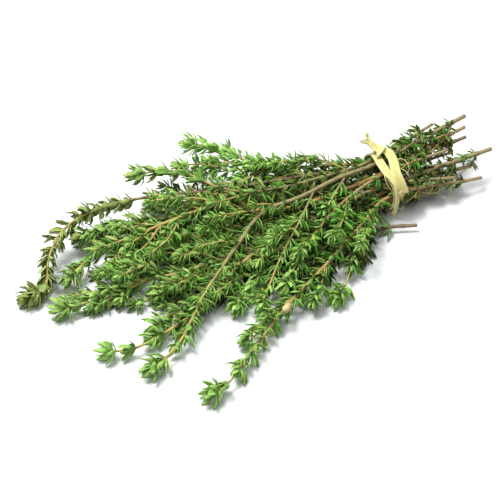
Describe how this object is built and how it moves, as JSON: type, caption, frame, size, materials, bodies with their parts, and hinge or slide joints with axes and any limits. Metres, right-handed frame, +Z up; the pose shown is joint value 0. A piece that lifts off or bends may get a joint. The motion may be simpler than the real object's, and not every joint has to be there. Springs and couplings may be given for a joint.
{
  "type": "thyme bundle",
  "caption": "Bundle of fresh thyme sprigs lying on its side, fanned out towards the leafy tips and tied near the cut ends with a knotted strip of raffia.",
  "frame": {"origin": "on the surface that the bundle lies on, at the flat spot under the raffia tie", "axes": "+X along the stems towards the cut ends, -X towards the leafy tips, +Z up from the surface"},
  "size_m": [0.1929, 0.1119, 0.0268],
  "materials": {
    "thyme": "satin green leaves on matt tan and brown woody stems",
    "raffia": "matt dry fibre with fine lengthwise grain"
  },
  "bodies": {
    "root": {"raffia_tie": "raffia", "sprig_01": "thyme", "sprig_02": "thyme", "sprig_03": "thyme", "sprig_04": "thyme", "sprig_05": "thyme", "sprig_06": "thyme", "sprig_07": "thyme", "sprig_08": "thyme", "sprig_09": "thyme", "sprig_10": "thyme", "sprig_11": "thyme", "sprig_12": "thyme", "sprig_13": "thyme", "sprig_14": "thyme", "sprig_15": "thyme", "sprig_16": "thyme", "sprig_17": "thyme", "sprig_18": "thyme", "sprig_19": "thyme", "sprig_20": "thyme", "sprig_21": "thyme"}
  },
  "joints": []
}
